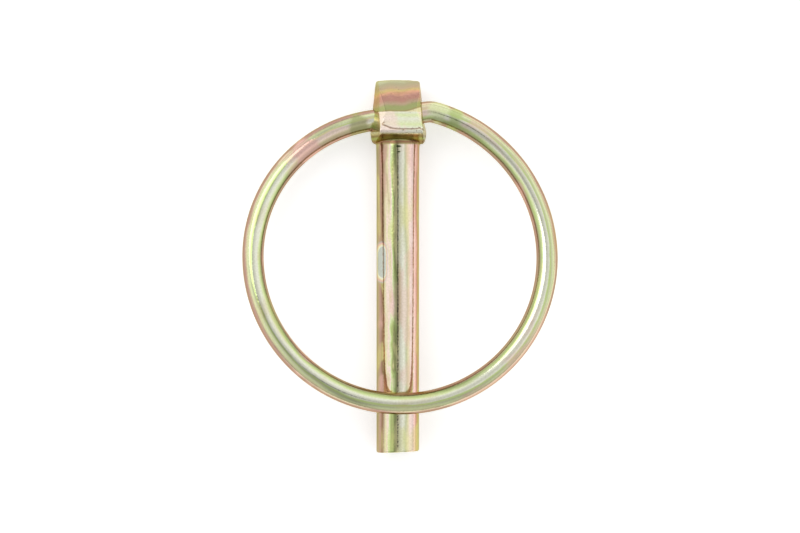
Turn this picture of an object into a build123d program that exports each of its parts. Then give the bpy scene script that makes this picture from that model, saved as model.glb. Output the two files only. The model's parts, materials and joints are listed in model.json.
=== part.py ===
from build123d import *
from math import asin, atan2, cos, degrees, radians, sin, sqrt, tan
import os

# Linch pin: a forged pin with a drafted head, and a sprung wire ring hinged in the head.
# Millimetres. The pin lies on its back with the closed ring on top, +Z up. The origin is on
# the surface it lies on, straight below the middle of the ring's hinge, and +Y runs from the
# tip towards the head.

# ---- shank ----
shank_diameter = 6.0
shank_length = 43.2  # from the cropped tip to the head's underside
tip_crop_angle = 2.3  # how far the cropped end leans off square
tip_edge_radius = 0.25
neck_length = 7.0  # stretch below the head where the shank swells
neck_swell = 0.06  # extra radius at the head

# ---- head: "up" runs from its underside to its top, "front" from the shank's axis ----
head_length = 9.1
collar_width = 7.8  # widest place, on the parting plane
collar_up = 1.7  # where the head is widest
base_width = 7.3  # at the underside
top_width = 6.2
top_arch = 0.15  # how far the top edge bows
base_corner_radius = 0.7
top_corner_radius = 0.4
side_draft = 8.5  # degrees, on both sides of the parting plane
lip_up = 1.4  # the lip's corner, before it is rounded
lip_front = 6.4
lip_radius = 0.6
crease_up = 4.45
crease_front = 5.5
crease_width = 4.3
crease_radius = 0.2
crease_cut_depth = 1.2  # how far the crease's cut corners run down the sides
corner_cut_reach = 0.55  # share of the upper facet that the corner cuts fade out over
facet_bow = 0.34  # bulge of the upper facet
top_front = 1.0  # front corner of the top end
back_depth = 3.2  # flat back of the head, behind the shank's axis
top_back_draft = 0.45  # how far the top end leans in towards the back
base_back_draft = 0.65  # how far the underside leans in towards the back
end_radius = 0.3  # front and back corners of the top end, and the back of the underside

# ---- ring ----
wire_diameter = 3.0
ring_radius = 20.65  # centreline, around the bottom
ring_top_cut = 1.0  # how far the hinge's axis lies inside that circle
ring_side_offset = 0.2  # the ring sits a little to the right of the shank
entry_bend_radius = 2.8  # centreline, where the wire turns into its hole on the right
ring_gap = 0.05  # between the closed ring and the front of the shank

# ---- hinge: one oblique hole, low on the left and high on the right ----
hinge_up = 3.94  # height of its middle above the head's underside
hinge_slant = 9.0  # degrees
hinge_clearance = 0.06  # radial, in the hole
hinge_run_out = 0.15  # straight wire left outside the head's sides
stub_end_gap = 1.2  # between the wire's two ends inside the head

os.makedirs("parts", exist_ok=True)

axis_height = back_depth
base = -hinge_up
tip = base - shank_length
shank_radius = shank_diameter / 2
neck_radius = shank_radius + neck_swell
wire_radius = wire_diameter / 2
shank_axis = Axis((0, 0, axis_height), (0, 1, 0))
hinge_centre = Vector(0, 0, axis_height)
hinge_line = Vector(1, 0, 0).rotate(Axis.Z, hinge_slant)


def on_side(up, front):
    """A point of the head's side view, as (y, z)."""
    return (base + up, axis_height + front)


def side_half_width(up, front):
    """Half the head's width at a height and a depth, on its straight drafted sides."""
    narrowing = (collar_width - top_width) / 2 / (head_length - top_arch - collar_up)
    return collar_width / 2 - (up - collar_up) * narrowing - abs(front) * tan(radians(side_draft))


def front_corner(up, front):
    """A point on the edge between the head's front and its right side, as (x, y, z)."""
    y, z = on_side(up, front)
    return (side_half_width(up, front), y, z)


# ---- head: an outline drafted to the front and to the back, cut to its side view ----
with BuildPart() as pin:
    with BuildSketch(Plane.XY.offset(axis_height)) as outline:
        with BuildLine():
            right_side = Polyline(
                (base_width / 2, base),
                (collar_width / 2, base + collar_up),
                (top_width / 2, base + head_length - top_arch),
            )
            ThreePointArc(right_side @ 1, (0, base + head_length), (-top_width / 2, (right_side @ 1).Y))
            Polyline(
                (-top_width / 2, base + head_length - top_arch),
                (-collar_width / 2, base + collar_up),
                (-base_width / 2, base),
                (base_width / 2, base),
            )
        make_face()
        fillet(outline.vertices().group_by(Axis.Y)[0], base_corner_radius)
        fillet(outline.vertices().group_by(Axis.Y)[-1], top_corner_radius)
    extrude(amount=lip_front + lip_radius, taper=side_draft)
    extrude(outline.sketch, amount=-axis_height, taper=side_draft)

    with BuildSketch(Plane.YZ) as side_view:
        with BuildLine():
            upper_facet = SagittaArc(
                on_side(crease_up, crease_front), on_side(head_length, top_front), facet_bow
            )
            Polyline(
                on_side(head_length, top_front),
                on_side(head_length, 0),
                on_side(head_length - top_back_draft, -back_depth),
                on_side(base_back_draft, -back_depth),
                on_side(0, 0),
                on_side(lip_up, lip_front),
                on_side(crease_up, crease_front),
            )
        make_face()
        fillet(side_view.vertices().sort_by_distance(on_side(lip_up, lip_front))[0], lip_radius)
        fillet(side_view.vertices().sort_by_distance(on_side(crease_up, crease_front))[0], crease_radius)
        fillet(side_view.vertices().sort_by_distance(on_side(head_length, top_front))[0], end_radius)
        fillet(side_view.vertices().group_by(Axis.Y)[0], end_radius)
    extrude(amount=collar_width, both=True, mode=Mode.INTERSECT)

# ---- corner cut: takes off the crease's corners, fading out down to the lip and up the facet ----
crease_corner = Vector(*front_corner(crease_up, crease_front))
cut_front = Vector(crease_width / 2, crease_corner.Y, crease_corner.Z)
cut_side = Vector(*front_corner(crease_up, crease_front - crease_cut_depth))
lower_slope = (lip_front - crease_front) / (crease_up - lip_up)
lower_fade = Vector(*front_corner(lip_up + lip_radius, lip_front - lower_slope * lip_radius))
facet_point = upper_facet @ corner_cut_reach
upper_fade = Vector(*front_corner(facet_point.X - base, facet_point.Y - axis_height))

# both flats of the cut pass through the line from cut_side to cut_front, so they are cut along it
along_cut = Plane(cut_front, z_dir=cut_front - cut_side)
lower_flat = along_cut.to_local_coords(lower_fade)
upper_flat = along_cut.to_local_coords(upper_fade)
outside = along_cut.to_local_coords(crease_corner)

with BuildPart() as corner_cut:
    with BuildSketch(along_cut):
        with BuildLine():
            Polyline((0, 0), (2 * lower_flat.X, 2 * lower_flat.Y), (4 * outside.X, 4 * outside.Y),
                     (2 * upper_flat.X, 2 * upper_flat.Y), close=True)
        make_face()
    extrude(amount=collar_width / 2, both=True)
    mirror(about=Plane.YZ)

# ---- pin: the cut head, the shank forged in one with it, and the oblique hinge hole ----
tip_lean = radians(tip_crop_angle)
with pin:
    add(corner_cut.part, mode=Mode.SUBTRACT)
    with BuildSketch(Plane.YZ) as shank_section:
        with BuildLine():
            barrel = Line(
                (tip - shank_diameter, axis_height + shank_radius),
                (base - neck_length, axis_height + shank_radius),
            )
            TangentArc(barrel @ 1, (base, axis_height + neck_radius), tangent=barrel % 1)
            Polyline(
                (base, axis_height + neck_radius),
                (base + lip_up, axis_height + neck_radius),
                (base + lip_up, axis_height),
                (tip - shank_diameter, axis_height),
                (tip - shank_diameter, axis_height + shank_radius),
            )
        make_face()
    revolve(axis=shank_axis)
    split(bisect_by=Plane((0, tip, axis_height), z_dir=(-sin(tip_lean), cos(tip_lean), 0)), keep=Keep.TOP)
    fillet(pin.edges().group_by(Axis.Y)[0], tip_edge_radius)
    with BuildSketch(Plane(hinge_centre, z_dir=hinge_line)):
        Circle(wire_radius + hinge_clearance)
    extrude(amount=collar_width, both=True, mode=Mode.SUBTRACT)
pin.part.label = "pin"

# ---- ring: arcs tangent to each other and, at both ends, to the hinge's axis ----
bend_start = collar_width / 2 / cos(radians(hinge_slant)) + hinge_run_out
centre_drop = ring_radius - ring_top_cut
centre_shift = ring_side_offset - centre_drop * tan(radians(hinge_slant))
left_run = -bend_start - centre_shift
left_radius = (centre_drop + ring_radius) / 2 - left_run**2 / (2 * ring_top_cut)
left_joint = degrees(atan2(centre_drop - left_radius, left_run)) % 360
right_run = centre_shift + ring_radius - bend_start
right_drop = centre_drop - entry_bend_radius
right_radius = (right_run**2 + right_drop**2 - entry_bend_radius**2) / (2 * (right_run - entry_bend_radius))
right_joint = degrees(atan2(right_drop, right_radius - right_run))

# the closed ring leans up from the hinge until it passes just in front of the shank
crossing_shift = -(centre_drop + ring_radius) * tan(radians(hinge_slant)) - centre_shift
crossing_drop = centre_drop + sqrt(ring_radius**2 - crossing_shift**2)
ring_tilt = degrees(asin((shank_radius + ring_gap + wire_radius) / crossing_drop))
ring_normal = Vector(0, 0, 1).rotate(Axis((0, 0, 0), hinge_line), -ring_tilt)

with BuildPart() as ring:
    with BuildLine(Plane(hinge_centre, x_dir=hinge_line, z_dir=ring_normal)) as wire_path:
        left_stub = Line((-stub_end_gap / 2, 0), (-bend_start, 0))
        left_arc = JernArc(left_stub @ 1, left_stub % 1, left_radius, left_joint - 90)
        main_arc = JernArc(left_arc @ 1, left_arc % 1, ring_radius, 360 - left_joint)
        right_arc = JernArc(main_arc @ 1, main_arc % 1, right_radius, right_joint)
        entry_bend = JernArc(right_arc @ 1, right_arc % 1, entry_bend_radius, 90 - right_joint)
        Line(entry_bend @ 1, (stub_end_gap / 2, 0))
    with BuildSketch(Plane(wire_path.line @ 0, z_dir=wire_path.line % 0)):
        Circle(wire_radius)
    sweep()
ring.part.label = "ring"

export_step(pin.part, "parts/pin.step")
export_step(ring.part, "parts/ring.step")

wire_length = sum(edge.length for edge in wire_path.edges())
print(f"ring closed at {ring_tilt:.2f} degrees, wire {wire_length:.1f} mm long")
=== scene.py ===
import json
from math import atan2, cos, degrees, pi, radians, sin, sqrt, tan

import bmesh
import bpy
from mathutils import Matrix, Vector, noise


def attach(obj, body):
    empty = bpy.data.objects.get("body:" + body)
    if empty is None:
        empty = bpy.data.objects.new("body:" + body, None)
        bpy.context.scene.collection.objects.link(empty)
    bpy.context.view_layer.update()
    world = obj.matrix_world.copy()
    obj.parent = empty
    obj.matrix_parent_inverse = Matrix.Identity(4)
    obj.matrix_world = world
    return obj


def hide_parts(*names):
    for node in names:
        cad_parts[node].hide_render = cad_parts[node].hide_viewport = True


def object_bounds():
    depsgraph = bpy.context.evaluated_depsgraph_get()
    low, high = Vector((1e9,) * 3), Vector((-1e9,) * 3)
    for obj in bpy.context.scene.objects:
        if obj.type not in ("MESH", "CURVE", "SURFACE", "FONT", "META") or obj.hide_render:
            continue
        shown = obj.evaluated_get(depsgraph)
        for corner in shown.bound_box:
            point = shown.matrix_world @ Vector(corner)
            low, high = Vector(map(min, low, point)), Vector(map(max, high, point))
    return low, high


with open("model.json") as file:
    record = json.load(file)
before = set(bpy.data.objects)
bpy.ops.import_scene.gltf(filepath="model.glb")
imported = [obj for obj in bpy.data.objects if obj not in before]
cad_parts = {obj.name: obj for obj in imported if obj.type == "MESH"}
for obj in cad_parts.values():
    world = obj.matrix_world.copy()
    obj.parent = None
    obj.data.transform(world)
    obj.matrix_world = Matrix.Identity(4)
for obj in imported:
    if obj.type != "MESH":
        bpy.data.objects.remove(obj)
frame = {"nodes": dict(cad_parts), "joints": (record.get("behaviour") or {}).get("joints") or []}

cad_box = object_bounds()
MM = 0.001

# ---------------------------------------------------------------- sizes, in millimetres
# Pieces are shaped in millimetres and brought to metres when they are finished.
hinge = frame["joints"][0]
hinge_centre = Vector(hinge["pos_m"]) / MM
hinge_line = -Vector(hinge["axis"])
axis_height = hinge_centre.z

# shank
shank_radius = 3.0
shank_length = 43.2
tip_crop_angle = 2.3
tip_edge_radius = 0.25
neck_length = 7.0
neck_swell = 0.06

# head, with its underside below the hinge
hinge_up = 3.94
head_base = -hinge_up
head_length = 9.1
collar_width = 7.8
crease_up = 4.45
fuller_right = 0.16  # the forging is a little fuller on its right, round the collar

# the head's forged skin: the size of its faces, and how often its edges and its upper facet are smoothed
skin_face = 0.08
edge_wear = 4
facet_wear = 120

# ring wire, on arcs tangent to each other and to the hinge's line at both ends
wire_radius = 1.5
ring_radius = 20.65
ring_top_cut = 1.0
ring_side_offset = 0.2
entry_bend_radius = 2.8
hinge_run_out = 0.15
stub_end_gap = 1.2
ring_gap = 0.05
wire_rim_points = 48

tip = head_base - shank_length
hinge_slant = atan2(hinge_line.y, hinge_line.x)
bend_start = collar_width / 2 / cos(hinge_slant) + hinge_run_out

scene = bpy.context.scene
collection = scene.collection


# ---------------------------------------------------------------- node helpers
def new_group(name, tree_type, inputs, outputs):
    """An empty node group with named sockets. Each input is (name, socket type, default or None)."""
    group = bpy.data.node_groups.new(name, tree_type)
    for label, kind, default in inputs:
        socket = group.interface.new_socket(label, in_out="INPUT", socket_type=kind)
        if default is not None:
            socket.default_value = default
    for label, kind in outputs:
        group.interface.new_socket(label, in_out="OUTPUT", socket_type=kind)
    return group, group.nodes.new("NodeGroupInput"), group.nodes.new("NodeGroupOutput")


def add(tree, kind, inputs=None, **settings):
    """A node with its settings made and its inputs set or linked, by socket name or number."""
    node = tree.nodes.new(kind)
    for label, value in settings.items():
        setattr(node, label, value)
    for label, value in (inputs or {}).items():
        socket = node.inputs[label]
        if isinstance(value, bpy.types.NodeSocket):
            tree.links.new(value, socket)
        else:
            socket.default_value = value
    return node


def math(tree, operation, *values):
    """The result of a Math node."""
    return add(tree, "ShaderNodeMath", dict(enumerate(values)), operation=operation).outputs[0]


def ramp(tree, factor, stops):
    """The colour of a Color Ramp with the given (position, colour) stops."""
    node = add(tree, "ShaderNodeValToRGB", {"Fac": factor})
    elements = node.color_ramp.elements
    elements[0].position, elements[0].color = stops[0][0], as_colour(stops[0][1])
    elements[1].position, elements[1].color = stops[-1][0], as_colour(stops[-1][1])
    for position, colour in stops[1:-1]:
        elements.new(position).color = as_colour(colour)
    return node.outputs["Color"]


def as_colour(value):
    """Linear colour of an sRGB triple from 0 to 255, or of a grey from 0 to 1."""
    if isinstance(value, (int, float)):
        return (value, value, value, 1)
    linear = [(c / 255 / 12.92) if c <= 10 else ((c / 255 + 0.055) / 1.055) ** 2.4 for c in value]
    return (*linear, 1)


def mix(tree, factor, a, b):
    """The colour of a Mix node. Its colour sockets are reached by number, as their names repeat."""
    return add(tree, "ShaderNodeMix", {0: factor, 6: a, 7: b}, data_type="RGBA").outputs[2]


def tinted(tree, colour, amount, tint):
    """A colour with an amount of a palette colour laid over it."""
    return mix(tree, amount, colour, as_colour(tint))


def centred(value, spread=1.0):
    """A noise value moved to run about zero, and spread out."""
    tree = value.id_data
    return math(tree, "MULTIPLY", math(tree, "SUBTRACT", value, 0.5), spread)


def smooth_step(tree, value, low, high, to_low=0.0, to_high=1.0):
    """value mapped smoothly from low..high to to_low..to_high."""
    inputs = {"Value": value, "From Min": low, "From Max": high, "To Min": to_low, "To Max": to_high}
    return add(tree, "ShaderNodeMapRange", inputs, interpolation_type="SMOOTHSTEP").outputs["Result"]


# ---------------------------------------------------------------- shared effects
def streaks_group():
    """Long streaks and slow patches left by the plating bath, along a straight part whose length is Z."""
    inputs = [
        ("Place", "NodeSocketVector", None),
        ("Streak Size", "NodeSocketFloat", 0.001),
        ("Patch Size", "NodeSocketFloat", 0.006),
        ("Stretch", "NodeSocketFloat", 14.0),
        ("Patch Stretch", "NodeSocketFloat", 2.5),
    ]
    group, into, out = new_group("plating_streaks", "ShaderNodeTree", inputs,
                                 [("Streak", "NodeSocketFloat"), ("Patch", "NodeSocketFloat")])
    noises = []
    for size, stretch, settings in (
        ("Streak Size", "Stretch", {"Detail": 5.0, "Roughness": 0.6}),
        ("Patch Size", "Patch Stretch", {"Detail": 4.0, "Roughness": 0.5, "Distortion": 0.5}),
    ):
        squeeze = add(group, "ShaderNodeCombineXYZ", {
            "X": 1.0, "Y": 1.0, "Z": math(group, "DIVIDE", 1.0, into.outputs[stretch]),
        })
        place = add(group, "ShaderNodeVectorMath", {0: into.outputs["Place"], 1: squeeze.outputs[0]},
                    operation="MULTIPLY")
        noises.append(add(group, "ShaderNodeTexNoise", {
            "Vector": place.outputs[0],
            "Scale": math(group, "DIVIDE", 1.0, into.outputs[size]),
            **settings,
        }))
    streak, patch = noises
    group.links.new(streak.outputs["Fac"], out.inputs["Streak"])
    group.links.new(patch.outputs["Fac"], out.inputs["Patch"])
    return group


def grain_group():
    """Fine grain and slow lumps of the plated steel as a height in metres, and the grain alone from 0 to 1."""
    inputs = [
        ("Place", "NodeSocketVector", None),
        ("Grain Size", "NodeSocketFloat", 0.0002),
        ("Grain Height", "NodeSocketFloat", 0.000004),
        ("Lump Size", "NodeSocketFloat", 0.0015),
        ("Lump Height", "NodeSocketFloat", 0.00001),
    ]
    group, into, out = new_group("plating_grain", "ShaderNodeTree", inputs,
                                 [("Height", "NodeSocketFloat"), ("Grain", "NodeSocketFloat")])
    heights = []
    for size, height, detail in (("Grain Size", "Grain Height", 2.0), ("Lump Size", "Lump Height", 1.0)):
        texture = add(group, "ShaderNodeTexNoise", {
            "Vector": into.outputs["Place"],
            "Scale": math(group, "DIVIDE", 1.0, into.outputs[size]),
            "Detail": detail,
            "Roughness": 0.5,
        })
        heights.append(math(group, "MULTIPLY", texture.outputs["Fac"], into.outputs[height]))
        if size == "Grain Size":
            group.links.new(texture.outputs["Fac"], out.inputs["Grain"])
    group.links.new(math(group, "ADD", *heights), out.inputs["Height"])
    return group


def spot_group():
    """A mask over one small place: 1 in its middle and 0 outside it, with a ragged edge."""
    inputs = [
        ("Place", "NodeSocketVector", None),
        ("Centre", "NodeSocketVector", None),
        ("Half Size", "NodeSocketVector", None),
        ("Ragged", "NodeSocketFloat", 0.0),
        ("Edge", "NodeSocketFloat", 0.4),
    ]
    group, into, out = new_group("one_spot", "ShaderNodeTree", inputs, [("Mask", "NodeSocketFloat")])
    offset = add(group, "ShaderNodeVectorMath", {0: into.outputs["Place"], 1: into.outputs["Centre"]},
                 operation="SUBTRACT")
    scaled = add(group, "ShaderNodeVectorMath", {0: offset.outputs[0], 1: into.outputs["Half Size"]},
                 operation="DIVIDE")
    reach = add(group, "ShaderNodeVectorMath", {0: scaled.outputs[0]}, operation="LENGTH").outputs["Value"]
    reach = math(group, "ADD", reach, into.outputs["Ragged"])
    mask = smooth_step(group, reach, 1.0, math(group, "SUBTRACT", 1.0, into.outputs["Edge"]))
    group.links.new(mask, out.inputs["Mask"])
    return group


STREAKS = streaks_group()
SPOT = spot_group()
GRAIN = grain_group()


def use(tree, group, **inputs):
    """A shared effect placed in a material. Underscores in the names stand for spaces."""
    named = {label.replace("_", " "): value for label, value in inputs.items()}
    return add(tree, "ShaderNodeGroup", named, node_tree=group)


def plated_steel(name):
    """A new metal material: its tree and its Principled BSDF."""
    material = bpy.data.materials.new(name)
    material.use_nodes = True
    tree = material.node_tree
    shader = tree.nodes["Principled BSDF"]
    shader.inputs["Metallic"].default_value = 1.0
    shader.inputs["Specular Tint"].default_value = as_colour(STRAW)
    return material, tree, shader


def finish(tree, shader, colour, rough, height):
    """The colour, roughness and bump that a material's shader takes."""
    bump = add(tree, "ShaderNodeBump", {"Height": height, "Strength": 1.0, "Distance": 1.0})
    tree.links.new(colour, shader.inputs["Base Color"])
    tree.links.new(rough, shader.inputs["Roughness"])
    tree.links.new(bump.outputs["Normal"], shader.inputs["Normal"])


# ---------------------------------------------------------------- finishes
# Yellow zinc plate: the film's colour runs through pale green, straw, gold and pink with its thickness. Some
# of these colours also stand for painted highlights and painted shade.
PALE_GREEN = (219, 230, 178)
GREEN = (180, 198, 128)
GREY_GREEN = (192, 196, 160)
STRAW = (224, 216, 174)
GOLD = (204, 180, 122)
ORANGE = (216, 164, 134)
PINK = (230, 184, 174)
PALE_PINK = (245, 220, 211)
DUSTY_PINK = (190, 142, 128)
OLIVE_PINK = (186, 164, 136)
SILVER = (230, 231, 212)
OLIVE = (160, 146, 98)
GREY_OLIVE = (172, 166, 136)
BROWN = (128, 98, 70)
RED_BROWN = (146, 102, 82)
LAP_BROWN = (150, 104, 60)
DARK_GREEN = (84, 96, 58)
MAUVE = (176, 140, 128)
MOSS = (160, 166, 112)
YELLOW_GREEN = (222, 222, 142)
BARE = (190, 196, 188)
BLUE_GREY = (186, 200, 206)


# Marks on the wire beside the head, partly where it was crimped and rubbed and partly painted reflections of
# the head: (place along it, half length, colour).
crimp_marks_and_head_reflections = [(5.2, 1.3, MOSS), (13.5, 1.6, PINK), (122.8, 1.5, PALE_GREEN), (120.6, 1.2, GREEN)]

# Marks down the front of the shank, a pale fleck and two dark patches of painted shade just under the head:
# (middle, half size, colour).
shank_fleck_and_shade = [
    ((0.03, -7.8), (0.35, 0.38), SILVER),
    ((-0.1, -4.25), (0.5, 0.22), DARK_GREEN),
    ((-0.1, -5.0), (0.34, 0.16), DARK_GREEN),
]

# An oval on the shank's left that the plate doesn't cover.
oval_middle = (-2.38, -20.5)
oval_half_size = (0.5, 2.2)


def wire_finish():
    """The ring's finish. Bands of film run along the wire, with patches of gold and pink on them; the silver
    band down the wire's middle is a painted highlight, and the mauve at its two sides is painted shade.
    """
    material, tree, shader = plated_steel("ring_plate")
    place = add(tree, "ShaderNodeAttribute", attribute_name="along_wire").outputs["Vector"]
    across = add(tree, "ShaderNodeSeparateXYZ", {0: place}).outputs["X"]
    film = use(tree, STREAKS, Place=place, Streak_Size=1.2 * MM, Patch_Size=4.5 * MM, Stretch=12.0)
    streak, patch = film.outputs["Streak"], film.outputs["Patch"]
    shift = math(tree, "ADD", centred(streak, 0.24), centred(patch, 0.3))
    # 0 on the inside of the ring, 1 on its outside
    side = math(tree, "ADD", math(tree, "MULTIPLY_ADD", across, 0.5 / (wire_radius * MM), 0.5), shift)
    # silver in the middle is a painted highlight along the wire and mauve at both sides painted shade; the
    # greens and straw between are the film
    colour = ramp(tree, side, [
        (0.0, MAUVE), (0.06, MAUVE), (0.13, GREY_OLIVE), (0.21, GREEN), (0.29, PALE_GREEN),
        (0.36, SILVER), (0.46, SILVER), (0.54, SILVER), (0.61, GREEN), (0.69, GREY_GREEN),
        (0.76, PALE_GREEN), (0.83, STRAW), (0.9, MAUVE), (1.0, MAUVE),
    ])
    colour = tinted(tree, colour, smooth_step(tree, patch, 0.54, 0.66, 0.0, 0.3), GOLD)
    colour = tinted(tree, colour, smooth_step(tree, patch, 0.47, 0.38, 0.0, 0.5), PINK)
    all_round = 10 * MM
    # crimp and rub marks, and painted reflections of the head on the wire beside it
    for middle, half_length, mark in crimp_marks_and_head_reflections:
        spot = use(tree, SPOT, Place=place, Centre=(0, 0, middle * MM),
                   Half_Size=(all_round, all_round, half_length * MM), Edge=0.7, Ragged=centred(patch, 4.0))
        colour = tinted(tree, colour, math(tree, "MULTIPLY", spot.outputs["Mask"], 0.75), mark)
    grain = use(tree, GRAIN, Place=place, Grain_Size=0.24 * MM, Grain_Height=0.0075 * MM,
                Lump_Size=1.1 * MM, Lump_Height=0.01 * MM)
    colour = tinted(tree, colour, smooth_step(tree, grain.outputs["Grain"], 0.6, 0.4, 0.0, 0.1), OLIVE)
    finish(tree, shader, colour, smooth_step(tree, streak, 0.3, 0.7, 0.06, 0.12), grain.outputs["Height"])
    return material


def shank_film_and_reflections(tree, across, streak, patch):
    """The shank's bands, from its left (0) to its right (1), which wander most left of its middle. They are
    partly the film's colour and partly painted reflections, with painted shade darkening them towards both
    edges.
    """
    side = math(tree, "MULTIPLY_ADD", across, 0.5 / (shank_radius * MM), 0.5)
    wander = math(tree, "MULTIPLY", smooth_step(tree, side, 0.13, 0.28, 0.05, 0.6),
                  smooth_step(tree, side, 0.3, 0.55, 1.0, 0.3))
    drift = math(tree, "MULTIPLY_ADD", streak, 0.9, patch)
    # the pale bands in the middle are partly painted reflections; the browns and mauves at the left edge and
    # the dusty pink at the right are painted shade
    bands = ramp(tree, math(tree, "MULTIPLY_ADD", wander, drift, side), [
        (0.0, GREY_OLIVE), (0.04, OLIVE_PINK), (0.08, MAUVE), (0.115, BROWN), (0.145, OLIVE_PINK),
        (0.18, STRAW), (0.25, PALE_PINK), (0.31, PALE_GREEN), (0.36, GREEN), (0.41, MOSS), (0.46, STRAW),
        (0.52, SILVER), (0.58, SILVER), (0.64, GREY_GREEN), (0.69, STRAW), (0.75, PALE_PINK),
        (0.82, PALE_PINK), (0.88, PINK), (0.92, DUSTY_PINK), (0.96, GOLD), (1.0, GREY_GREEN),
    ])
    bands = tinted(tree, bands, smooth_step(tree, patch, 0.03, 0.12, 0.0, 0.4), YELLOW_GREEN)
    return tinted(tree, bands, smooth_step(tree, patch, -0.04, -0.13, 0.0, 0.4), PINK)


def head_film_highlight_and_shade(tree, across, up, patch):
    """The head's colours, which change up each of its two facets and meet at the crease. The lower facet's
    silver, with its pale lip and crease, is a painted highlight, and the dark olive, red-brown and brown of
    the underside are painted shade.
    """
    above = math(tree, "DIVIDE", math(tree, "SUBTRACT", up, crease_up), head_length - crease_up)
    tilt = math(tree, "MULTIPLY", across, -30.0)
    # from the crease (0) to the top (1)
    upper = ramp(tree, math(tree, "ADD", above, math(tree, "MULTIPLY_ADD", patch, 0.3, tilt)), [
        (0.0, STRAW), (0.03, OLIVE), (0.07, MOSS), (0.17, MOSS), (0.25, OLIVE_PINK), (0.36, DUSTY_PINK),
        (0.48, DUSTY_PINK), (0.57, ORANGE), (0.65, GOLD), (0.74, OLIVE_PINK), (0.88, GREY_OLIVE),
        (1.0, GREY_GREEN),
    ])
    # from the underside (0) to the crease (1): painted shade on the underside, then painted highlights up the
    # lower facet
    below = math(tree, "DIVIDE", up, crease_up)
    lower = ramp(tree, math(tree, "MULTIPLY_ADD", patch, 0.12, below), [
        (0.0, OLIVE), (0.08, RED_BROWN), (0.17, GREEN), (0.24, BROWN), (0.3, STRAW), (0.36, SILVER),
        (0.48, SILVER), (0.6, PALE_GREEN), (0.78, SILVER), (0.9, PALE_GREEN), (1.0, SILVER),
    ])
    blush = math(tree, "MULTIPLY", smooth_step(tree, patch, 0.0, -0.1, 0.0, 0.7),
                 smooth_step(tree, below, 0.3, 0.4))
    lower = tinted(tree, lower, blush, PALE_PINK)
    return mix(tree, smooth_step(tree, above, -0.006, 0.006), lower, upper)


def bare_oval(tree, at, depth, streak, colour):
    """A colour with the bare oval and its coloured fringe laid over it, on the front only."""
    (x, y), (half_x, half_y) = oval_middle, oval_half_size
    place = add(tree, "ShaderNodeMapping", {
        "Vector": at,
        "Location": (-x / half_x, -y / half_y, 0),
        "Scale": (1 / (half_x * MM), 1 / (half_y * MM), 0),
    }).outputs[0]
    squared = add(tree, "ShaderNodeVectorMath", {0: place, 1: place}, operation="MULTIPLY").outputs[0]
    squares = add(tree, "ShaderNodeSeparateXYZ", {0: squared}).outputs
    reach = math(tree, "ADD", math(tree, "POWER", squares["X"], 1.3), math(tree, "POWER", squares["Y"], 2.0))
    reach = math(tree, "MULTIPLY_ADD", streak, 1.2, reach)
    fringe = ramp(tree, math(tree, "MULTIPLY", reach, 0.2), [
        (0.0, BARE), (0.16, BARE), (0.22, SILVER), (0.3, STRAW), (0.42, PINK), (0.6, BLUE_GREY),
        (0.8, STRAW), (1.0, PINK),
    ])
    front = smooth_step(tree, depth, axis_height * MM, (axis_height + 0.5) * MM)
    return mix(tree, math(tree, "MULTIPLY", smooth_step(tree, reach, 4.0, 1.6), front), colour, fringe)


def pin_finish():
    """The pin's finish: bands along the shank, partly painted reflections, and colours that change up the
    forged head, with painted highlights on its lower facet and painted shade on its underside.
    """
    material, tree, shader = plated_steel("pin_plate")
    at = add(tree, "ShaderNodeTexCoord").outputs["Object"]
    across, along, depth = add(tree, "ShaderNodeSeparateXYZ", {0: at}).outputs
    turned = add(tree, "ShaderNodeMapping", {"Vector": at, "Rotation": (radians(90), 0, 0)}).outputs[0]
    film = use(tree, STREAKS, Place=turned, Streak_Size=1.4 * MM, Patch_Size=4.2 * MM, Stretch=14.0)
    streak, patch = centred(film.outputs["Streak"]), centred(film.outputs["Patch"])

    # height above the head's underside, in millimetres
    up = math(tree, "MULTIPLY_ADD", along, 1 / MM, -head_base)
    on_head = smooth_step(tree, up, -0.12, 0.15)
    colour = mix(tree, on_head, shank_film_and_reflections(tree, across, streak, patch), head_film_highlight_and_shade(tree, across, up, patch))
    colour = bare_oval(tree, at, depth, streak, colour)
    # a pale fleck, and two dark patches of painted shade under the head
    for (x, y), (half_x, half_y), mark in shank_fleck_and_shade:
        spot = use(tree, SPOT, Place=at, Centre=(x * MM, y * MM, 2 * axis_height * MM),
                   Half_Size=(half_x * MM, half_y * MM, axis_height * MM), Edge=0.6,
                   Ragged=math(tree, "MULTIPLY", streak, 0.8))
        colour = tinted(tree, colour, spot.outputs["Mask"], mark)

    # grain in the plate, with specks and pits, thickest on the lip of the head
    grain = use(tree, GRAIN, Place=at, Grain_Size=0.28 * MM, Grain_Height=0.01 * MM, Lump_Size=1.3 * MM,
                Lump_Height=0.01 * MM)
    colour = tinted(tree, colour, smooth_step(tree, grain.outputs["Grain"], 0.6, 0.4, 0.0, 0.12), OLIVE)
    lip = math(tree, "MULTIPLY", smooth_step(tree, up, 0.2 * crease_up, 0.3 * crease_up),
               smooth_step(tree, up, 0.52 * crease_up, 0.4 * crease_up))
    specks = smooth_step(tree, math(tree, "MULTIPLY_ADD", lip, 0.07, grain.outputs["Grain"]),
                         0.66, 0.74, 0.0, 0.7)
    colour = tinted(tree, colour, math(tree, "MULTIPLY", specks, on_head), BROWN)
    lap = add(tree, "ShaderNodeAttribute", attribute_name="lap").outputs["Fac"]
    colour = tinted(tree, colour, math(tree, "MULTIPLY", lap, 0.85), LAP_BROWN)

    # the head is duller than the shank, and its lip coarser
    rough = math(tree, "ADD", smooth_step(tree, film.outputs["Streak"], 0.3, 0.7, 0.05, 0.11),
                 math(tree, "MULTIPLY", on_head, 0.14))
    coarse = math(tree, "MULTIPLY", grain.outputs["Height"], math(tree, "MULTIPLY_ADD", lip, 1.5, 1.0))
    finish(tree, shader, colour, rough, coarse)
    return material


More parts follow.
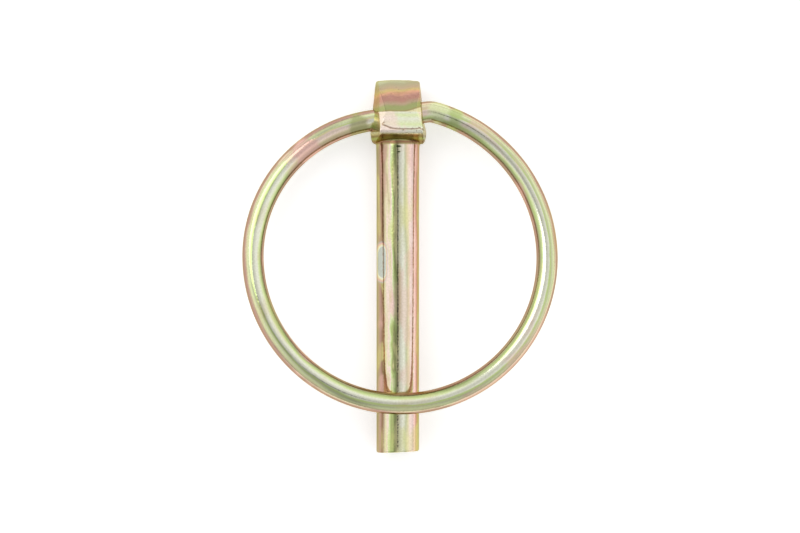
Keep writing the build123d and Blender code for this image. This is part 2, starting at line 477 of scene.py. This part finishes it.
# ---------------------------------------------------------------- meshes
def object_from(bm, name):
    """A new object from a bmesh, which is freed."""
    mesh = bpy.data.meshes.new(name)
    bm.to_mesh(mesh)
    bm.free()
    made = bpy.data.objects.new(name, mesh)
    collection.objects.link(made)
    return made


def settle(made):
    """Applies an object's modifiers to its mesh."""
    bpy.context.view_layer.update()
    evaluated = made.evaluated_get(bpy.context.evaluated_depsgraph_get())
    result = bpy.data.meshes.new_from_object(evaluated)
    made.modifiers.clear()
    made.data = result
    return made


def share_of(value, low, high):
    """How far a value is from low to high, kept from 0 to 1."""
    return max(0.0, min(1.0, (value - low) / (high - low)))


def on_upper_facet(v):
    """Whether a point lies on the bowed facet between the crease and the top, away from its edges."""
    half_width, edge = 2.2, 0.25
    up = v.co.y - head_base
    return v.normal.z > 0.35 and abs(v.co.x) < half_width and crease_up + edge < up < head_length - edge


def forged_head():
    """A copy of the CAD pin's head and the first of its shank, closed, with every edge worn round."""
    kept_shank = 1.0
    bm = bmesh.new()
    bm.from_mesh(frame["nodes"]["pin"].data)
    bmesh.ops.remove_doubles(bm, verts=bm.verts, dist=0.000001)
    bmesh.ops.scale(bm, vec=(1 / MM,) * 3, verts=bm.verts)
    everything = bm.verts[:] + bm.edges[:] + bm.faces[:]
    cut = bmesh.ops.bisect_plane(bm, geom=everything, plane_co=(0, head_base - kept_shank, 0),
                                 plane_no=(0, 1, 0), clear_inner=True)
    rim = [part for part in cut["geom_cut"] if isinstance(part, bmesh.types.BMEdge)]
    bmesh.ops.holes_fill(bm, edges=rim, sides=0)
    bmesh.ops.triangulate(bm, faces=bm.faces)
    bmesh.ops.recalc_face_normals(bm, faces=bm.faces)
    head = object_from(bm, "head")
    remesh = head.modifiers.new("skin", "REMESH")
    remesh.mode = "VOXEL"
    remesh.voxel_size = skin_face
    settle(head)
    facet = head.vertex_groups.new(name="upper_facet")
    facet.add([v.index for v in head.data.vertices if on_upper_facet(v)], 1.0, "REPLACE")
    for name, group, times in (("facet_wear", facet.name, facet_wear), ("edge_wear", "", edge_wear)):
        wear = head.modifiers.new(name, "SMOOTH")
        wear.vertex_group = group
        wear.factor = 0.5
        wear.iterations = times
    return settle(head)


def shank_radius_at(y):
    """The shank's radius, which swells below the head."""
    return shank_radius + neck_swell * share_of(y, head_base - neck_length, head_base) ** 2


def turned_shank():
    """The shank as rings of points from its cropped tip to inside the head."""
    around, step = 96, 0.45
    sunk_in_head = 0.9
    crop_fades_over = 3.0
    length = head_base + sunk_in_head - tip
    count = int(length / step)
    # each ring is (distance from the tip, radius), where no radius stands for the shank's own
    rings = [(0.0, shank_radius * share) for share in (0.3, 0.6, 0.85)]
    for angle in (radians(15 * k) for k in range(7)):
        rings.append((tip_edge_radius * (1 - cos(angle)), shank_radius - tip_edge_radius * (1 - sin(angle))))
    rings += [(tip_edge_radius + (length - tip_edge_radius) * k / count, None) for k in range(1, count + 1)]
    bm = bmesh.new()
    loops = []
    for distance, radius in rings:
        size = shank_radius_at(tip + distance) if radius is None else radius
        crop = tan(radians(tip_crop_angle)) * max(0.0, 1 - distance / crop_fades_over)
        loop = []
        for k in range(around):
            angle = 2 * pi * k / around
            x, z = size * sin(angle), size * cos(angle)
            loop.append(bm.verts.new((x, tip + distance + x * crop, axis_height + z)))
        loops.append(loop)
    for lower, upper in zip(loops, loops[1:]):
        for k in range(around):
            bm.faces.new((lower[k], lower[k - 1], upper[k - 1], upper[k]))
    bm.faces.new(loops[0])
    bm.faces.new(loops[-1])
    bmesh.ops.recalc_face_normals(bm, faces=bm.faces)
    return object_from(bm, "shank")


# The lap where the forging folded over itself: a line across the lower facet with a hook at its left.
lap_line = [
    (-2.35, -1.0), (-2.62, -1.12), (-2.58, -1.32), (-2.1, -1.5), (-1.5, -1.78),
    (-0.6, -1.92), (1.2, -1.92), (2.2, -1.9), (2.5, -1.74), (2.95, -1.98),
]
lap_depth, lap_reach = 0.06, 0.13
lap_step, lap_step_reach = 0.035, 0.6


def lap_distance(x, y):
    """Distance to the lap line, and the side of it: 1 above and -1 below."""
    best, side = 99.0, 1.0
    for (ax, ay), (bx, by) in zip(lap_line, lap_line[1:]):
        dx, dy = bx - ax, by - ay
        share = share_of((x - ax) * dx + (y - ay) * dy, 0.0, dx * dx + dy * dy)
        px, py = x - ax - share * dx, y - ay - share * dy
        gap = sqrt(px * px + py * py)
        if gap < best:
            best, side = gap, (1.0 if dx * py - dy * px > 0 else -1.0)
    return best, side


def forging_rise(co, normal):
    """How far the forging's lumps raise a point of the head, fading out at its hole, back and underside."""
    x, y, z = co
    rise = 0.04 * noise.noise(co * 0.6) + 0.012 * noise.noise(co * 1.5 + Vector((7, 3, 1)))
    if normal.x > 0.5:
        rise += fuller_right * max(0.0, 1 - abs(y - head_base - 1.2) / 2.6)
    from_hinge = sqrt((x * hinge_line.y - y * hinge_line.x) ** 2 + (z - axis_height) ** 2)
    rise *= share_of(from_hinge, wire_radius + 0.1, wire_radius + 0.6)
    rise *= share_of(y, head_base - 0.3, head_base + 0.2)
    return rise * 0.2 if z < 0.3 else rise


def hammer(pin):
    """Forging lumps over the head, and the lap, moved into the mesh; the lap is kept as an attribute."""
    mesh = pin.data
    lap = mesh.attributes.new("lap", "FLOAT", "POINT")
    normals = [v.normal.copy() for v in mesh.vertices]
    for v, normal in zip(mesh.vertices, normals):
        x, y, z = v.co
        if y < head_base - 0.3:
            continue
        rise = forging_rise(v.co, normal)
        if z > axis_height + 3.5 and y < 0.6:
            gap, side = lap_distance(x, y)
            groove = max(0.0, 1 - gap / lap_reach)
            lap.data[v.index].value = groove
            rise += lap_step * side * max(0.0, 1 - gap / lap_step_reach) - lap_depth * groove
        v.co += normal * rise


def cut_in_triangles(made):
    """Cuts the union's many-sided faces into triangles, so that none is folded over on export."""
    bm = bmesh.new()
    bm.from_mesh(made.data)
    bmesh.ops.triangulate(bm, faces=bm.faces)
    bm.to_mesh(made.data)
    bm.free()


def make_pin():
    """The forged pin: head and shank joined into one skin."""
    pin = forged_head()
    shank = turned_shank()
    join = pin.modifiers.new("join", "BOOLEAN")
    join.operation = "UNION"
    join.solver = "EXACT"
    join.object = shank
    settle(pin)
    bpy.data.objects.remove(shank)
    cut_in_triangles(pin)
    hammer(pin)
    pin.data.transform(Matrix.Scale(MM, 4))
    pin.data.shade_smooth()
    pin.name = "forged_pin"
    pin.data.materials.clear()
    pin.data.materials.append(pin_finish())
    return pin


# ---------------------------------------------------------------- the ring
def wire_route():
    """The wire's centreline between its two stub ends, as points (along the hinge's line, up from it)."""
    stub_length, point_gap = 1.5, 0.35
    centre_drop = ring_radius - ring_top_cut
    centre_shift = ring_side_offset - centre_drop * tan(hinge_slant)
    left_run = -bend_start - centre_shift
    left_radius = (centre_drop + ring_radius) / 2 - left_run**2 / (2 * ring_top_cut)
    left_joint = degrees(atan2(centre_drop - left_radius, left_run))
    right_run = centre_shift + ring_radius - bend_start
    right_drop = centre_drop - entry_bend_radius
    right_radius = (right_run**2 + right_drop**2 - entry_bend_radius**2) / 2 / (right_run - entry_bend_radius)
    right_joint = degrees(atan2(right_drop, right_radius - right_run))
    arcs = [(left_radius, left_joint - 90), (ring_radius, 360 - left_joint), (right_radius, right_joint),
            (entry_bend_radius, 90 - right_joint)]
    points = [Vector((x, 0)) for x in (-stub_end_gap / 2, -stub_end_gap / 2 - stub_length, -bend_start)]
    heading = pi
    for radius, turn in arcs:
        count = max(4, round(radians(turn) * radius / point_gap))
        middle = points[-1] + Vector((-sin(heading), cos(heading))) * radius
        for k in range(1, count + 1):
            angle = heading - pi / 2 + radians(turn) * k / count
            points.append(middle + Vector((cos(angle), sin(angle))) * radius)
        heading += radians(turn)
    points += [Vector(((points[-1].x + stub_end_gap / 2) / 2, 0)), Vector((stub_end_gap / 2, 0))]
    return points, centre_drop, centre_shift


def tube_tree():
    """Geometry Nodes: a round wire along a route, which keeps its straightened place for the finish."""
    inputs = [
        ("Geometry", "NodeSocketGeometry", None),
        ("Wire Radius", "NodeSocketFloat", 0.0015),
        ("Rim Points", "NodeSocketInt", wire_rim_points),
        ("Finish", "NodeSocketMaterial", None),
    ]
    tree, into, out = new_group("bent_wire", "GeometryNodeTree", inputs, [("Geometry", "NodeSocketGeometry")])
    upright = add(tree, "GeometryNodeSetCurveNormal", {"Curve": into.outputs["Geometry"]})
    upright.mode = "Z_UP"
    length = add(tree, "GeometryNodeSplineParameter").outputs["Length"]
    route = add(tree, "GeometryNodeCaptureAttribute", {"Geometry": upright.outputs[0]}, domain="POINT")
    route.capture_items.new("FLOAT", "Length")
    tree.links.new(length, route.inputs["Length"])
    rim = add(tree, "GeometryNodeCurvePrimitiveCircle", {
        "Resolution": into.outputs["Rim Points"], "Radius": into.outputs["Wire Radius"],
    })
    rim_place = add(tree, "GeometryNodeInputPosition").outputs[0]
    rim_kept = add(tree, "GeometryNodeCaptureAttribute", {"Geometry": rim.outputs["Curve"]}, domain="POINT")
    rim_kept.capture_items.new("VECTOR", "Rim")
    tree.links.new(rim_place, rim_kept.inputs["Rim"])
    tube = add(tree, "GeometryNodeCurveToMesh", {
        "Curve": route.outputs["Geometry"], "Profile Curve": rim_kept.outputs["Geometry"], "Fill Caps": True,
    })
    around = add(tree, "ShaderNodeSeparateXYZ", {0: rim_kept.outputs["Rim"]})
    straight = add(tree, "ShaderNodeCombineXYZ", {
        "X": around.outputs["X"], "Y": around.outputs["Y"], "Z": route.outputs["Length"],
    })
    stored = add(tree, "GeometryNodeStoreNamedAttribute", {
        "Geometry": tube.outputs[0], "Name": "along_wire",
    }, data_type="FLOAT_VECTOR", domain="POINT")
    tree.links.new(straight.outputs[0], [s for s in stored.inputs if s.name == "Value" and s.enabled][0])
    real = add(tree, "GeometryNodeRealizeInstances", {"Geometry": stored.outputs[0]})
    coated = add(tree, "GeometryNodeSetMaterial", {
        "Geometry": real.outputs[0], "Material": into.outputs["Finish"],
    })
    tree.links.new(coated.outputs[0], out.inputs["Geometry"])
    return tree


def make_ring():
    """The sprung ring as one bent wire, leaning on the front of the shank."""
    points, centre_drop, centre_shift = wire_route()
    crossing_shift = -(centre_drop + ring_radius) * tan(hinge_slant) - centre_shift
    crossing_drop = centre_drop + sqrt(ring_radius**2 - crossing_shift**2)
    lean = (shank_radius + ring_gap + wire_radius) / crossing_drop
    down = Vector((hinge_line.y, -hinge_line.x, 0)) * sqrt(1 - lean**2) + Vector((0, 0, lean))
    curve = bpy.data.curves.new("wire_route", "CURVE")
    curve.dimensions = "3D"
    spline = curve.splines.new("POLY")
    spline.points.add(len(points) - 1)
    for slot, point in zip(spline.points, points):
        slot.co = (*((hinge_centre + hinge_line * point.x - down * point.y) * MM), 1)
    route = bpy.data.objects.new("wire_route", curve)
    collection.objects.link(route)
    tree = tube_tree()
    wire = route.modifiers.new("wire", "NODES")
    wire.node_group = tree
    sockets = {item.name: item.identifier for item in tree.interface.items_tree if item.in_out == "INPUT"}
    wire[sockets["Wire Radius"]] = wire_radius * MM
    wire[sockets["Rim Points"]] = wire_rim_points
    wire[sockets["Finish"]] = wire_finish()
    bpy.context.view_layer.update()
    evaluated = route.evaluated_get(bpy.context.evaluated_depsgraph_get())
    mesh = bpy.data.meshes.new_from_object(evaluated)
    bpy.data.objects.remove(route)
    bm = bmesh.new()
    bm.from_mesh(mesh)
    bmesh.ops.recalc_face_normals(bm, faces=bm.faces)
    bm.to_mesh(mesh)
    bm.free()
    mesh.shade_smooth()
    ring = bpy.data.objects.new("sprung_ring", mesh)
    collection.objects.link(ring)
    return ring


pin = make_pin()
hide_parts("pin")
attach(pin, "pin")

ring = make_ring()
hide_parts("ring")
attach(ring, "ring")


# ---------------------------------------------------------------- studio
def make_floor():
    """A plain pale sheet just under the pin."""
    half_size, gap = 1.5, 0.00002
    bm = bmesh.new()
    bmesh.ops.create_grid(bm, x_segments=1, y_segments=1, size=half_size)
    floor = object_from(bm, "floor")
    floor.location.z = cad_box[0].z - gap
    material = bpy.data.materials.new("pale_floor")
    material.use_nodes = True
    tree = material.node_tree
    shader = tree.nodes["Principled BSDF"]
    shader.inputs["Base Color"].default_value = (0.88, 0.88, 0.88, 1)
    shader.inputs["Roughness"].default_value = 0.9
    shader.inputs["Specular IOR Level"].default_value = 0.0
    # seen directly or in a reflection, the sheet is lifted to a clean white; it still takes the shadow
    path = add(tree, "ShaderNodeLightPath").outputs
    seen = math(tree, "MAXIMUM", math(tree, "MAXIMUM", path["Is Camera Ray"], path["Is Glossy Ray"]),
                path["Is Transmission Ray"])
    shader.inputs["Emission Color"].default_value = (1, 1, 1, 1)
    tree.links.new(math(tree, "MULTIPLY", seen, 0.4), shader.inputs["Emission Strength"])
    floor.data.materials.append(material)


def make_dome(lean):
    """A soft white dome with a dark opening for the lens, leaning as the camera does. It is a little dimmer
    towards the shank's tip, and in a narrow gap to the left."""
    world = bpy.data.worlds.new("light_dome")
    scene.world = world
    world.use_nodes = True
    tree = world.node_tree
    direction = add(tree, "ShaderNodeTexCoord").outputs["Generated"]
    opening = (-sin(lean), 0.0, cos(lean))
    facing = add(tree, "ShaderNodeVectorMath", {0: direction, 1: opening}, operation="DOT_PRODUCT")
    # 0 in the middle of the opening, 1 at a right angle to it
    angle = math(tree, "MULTIPLY", math(tree, "ARCCOSINE", facing.outputs["Value"]), 2 / pi)
    light = ramp(tree, angle, [
        (0.0, 0.01), (0.02, 0.015), (0.05, 0.55), (0.2, 0.74), (0.34, 0.95), (0.8, 1.0), (0.92, 0.87),
        (1.0, 0.8),
    ])
    towards = add(tree, "ShaderNodeSeparateXYZ", {0: direction}).outputs
    tip_side = smooth_step(tree, towards["Y"], -0.75, -0.1, 0.66, 1.08)
    from_gap = math(tree, "ABSOLUTE", math(tree, "ADD", towards["X"], 0.3))
    left_gap = smooth_step(tree, from_gap, 0.05, 0.22, 0.72, 1.0)
    level = math(tree, "MULTIPLY", tip_side, left_gap)
    background = tree.nodes["Background"]
    tree.links.new(light, background.inputs["Color"])
    tree.links.new(level, background.inputs["Strength"])


def make_lamp():
    """One large soft lamp, high at the upper left."""
    light = bpy.data.lights.new("soft_lamp", "AREA")
    light.shape = "DISK"
    light.size = 0.5
    light.energy = 0.7
    lamp = bpy.data.objects.new("soft_lamp", light)
    collection.objects.link(lamp)
    lamp.location = Vector((-0.35, 0.25, 0.55))
    lamp.rotation_euler = (-lamp.location).to_track_quat("-Z", "Y").to_euler()


def make_camera(lean):
    """A long lens looking down on the pin, leaning a little to its left."""
    aim = Vector((0.31, -21.09, axis_height)) * MM
    distance = 0.6253
    data = bpy.data.cameras.new("camera")
    data.lens = 200
    data.clip_start = 0.01
    data.clip_end = 10
    camera = bpy.data.objects.new("camera", data)
    collection.objects.link(camera)
    back = Vector((-sin(lean), 0, cos(lean)))
    camera.location = aim + back * distance
    right = Vector((cos(lean), 0, sin(lean)))
    camera.rotation_euler = Matrix((right, back.cross(right), back)).transposed().to_euler()
    scene.camera = camera


view_lean = radians(4.5)  # how far the camera leans to the left
make_floor()
make_dome(view_lean)
make_lamp()
make_camera(view_lean)
scene.view_settings.view_transform = "Standard"
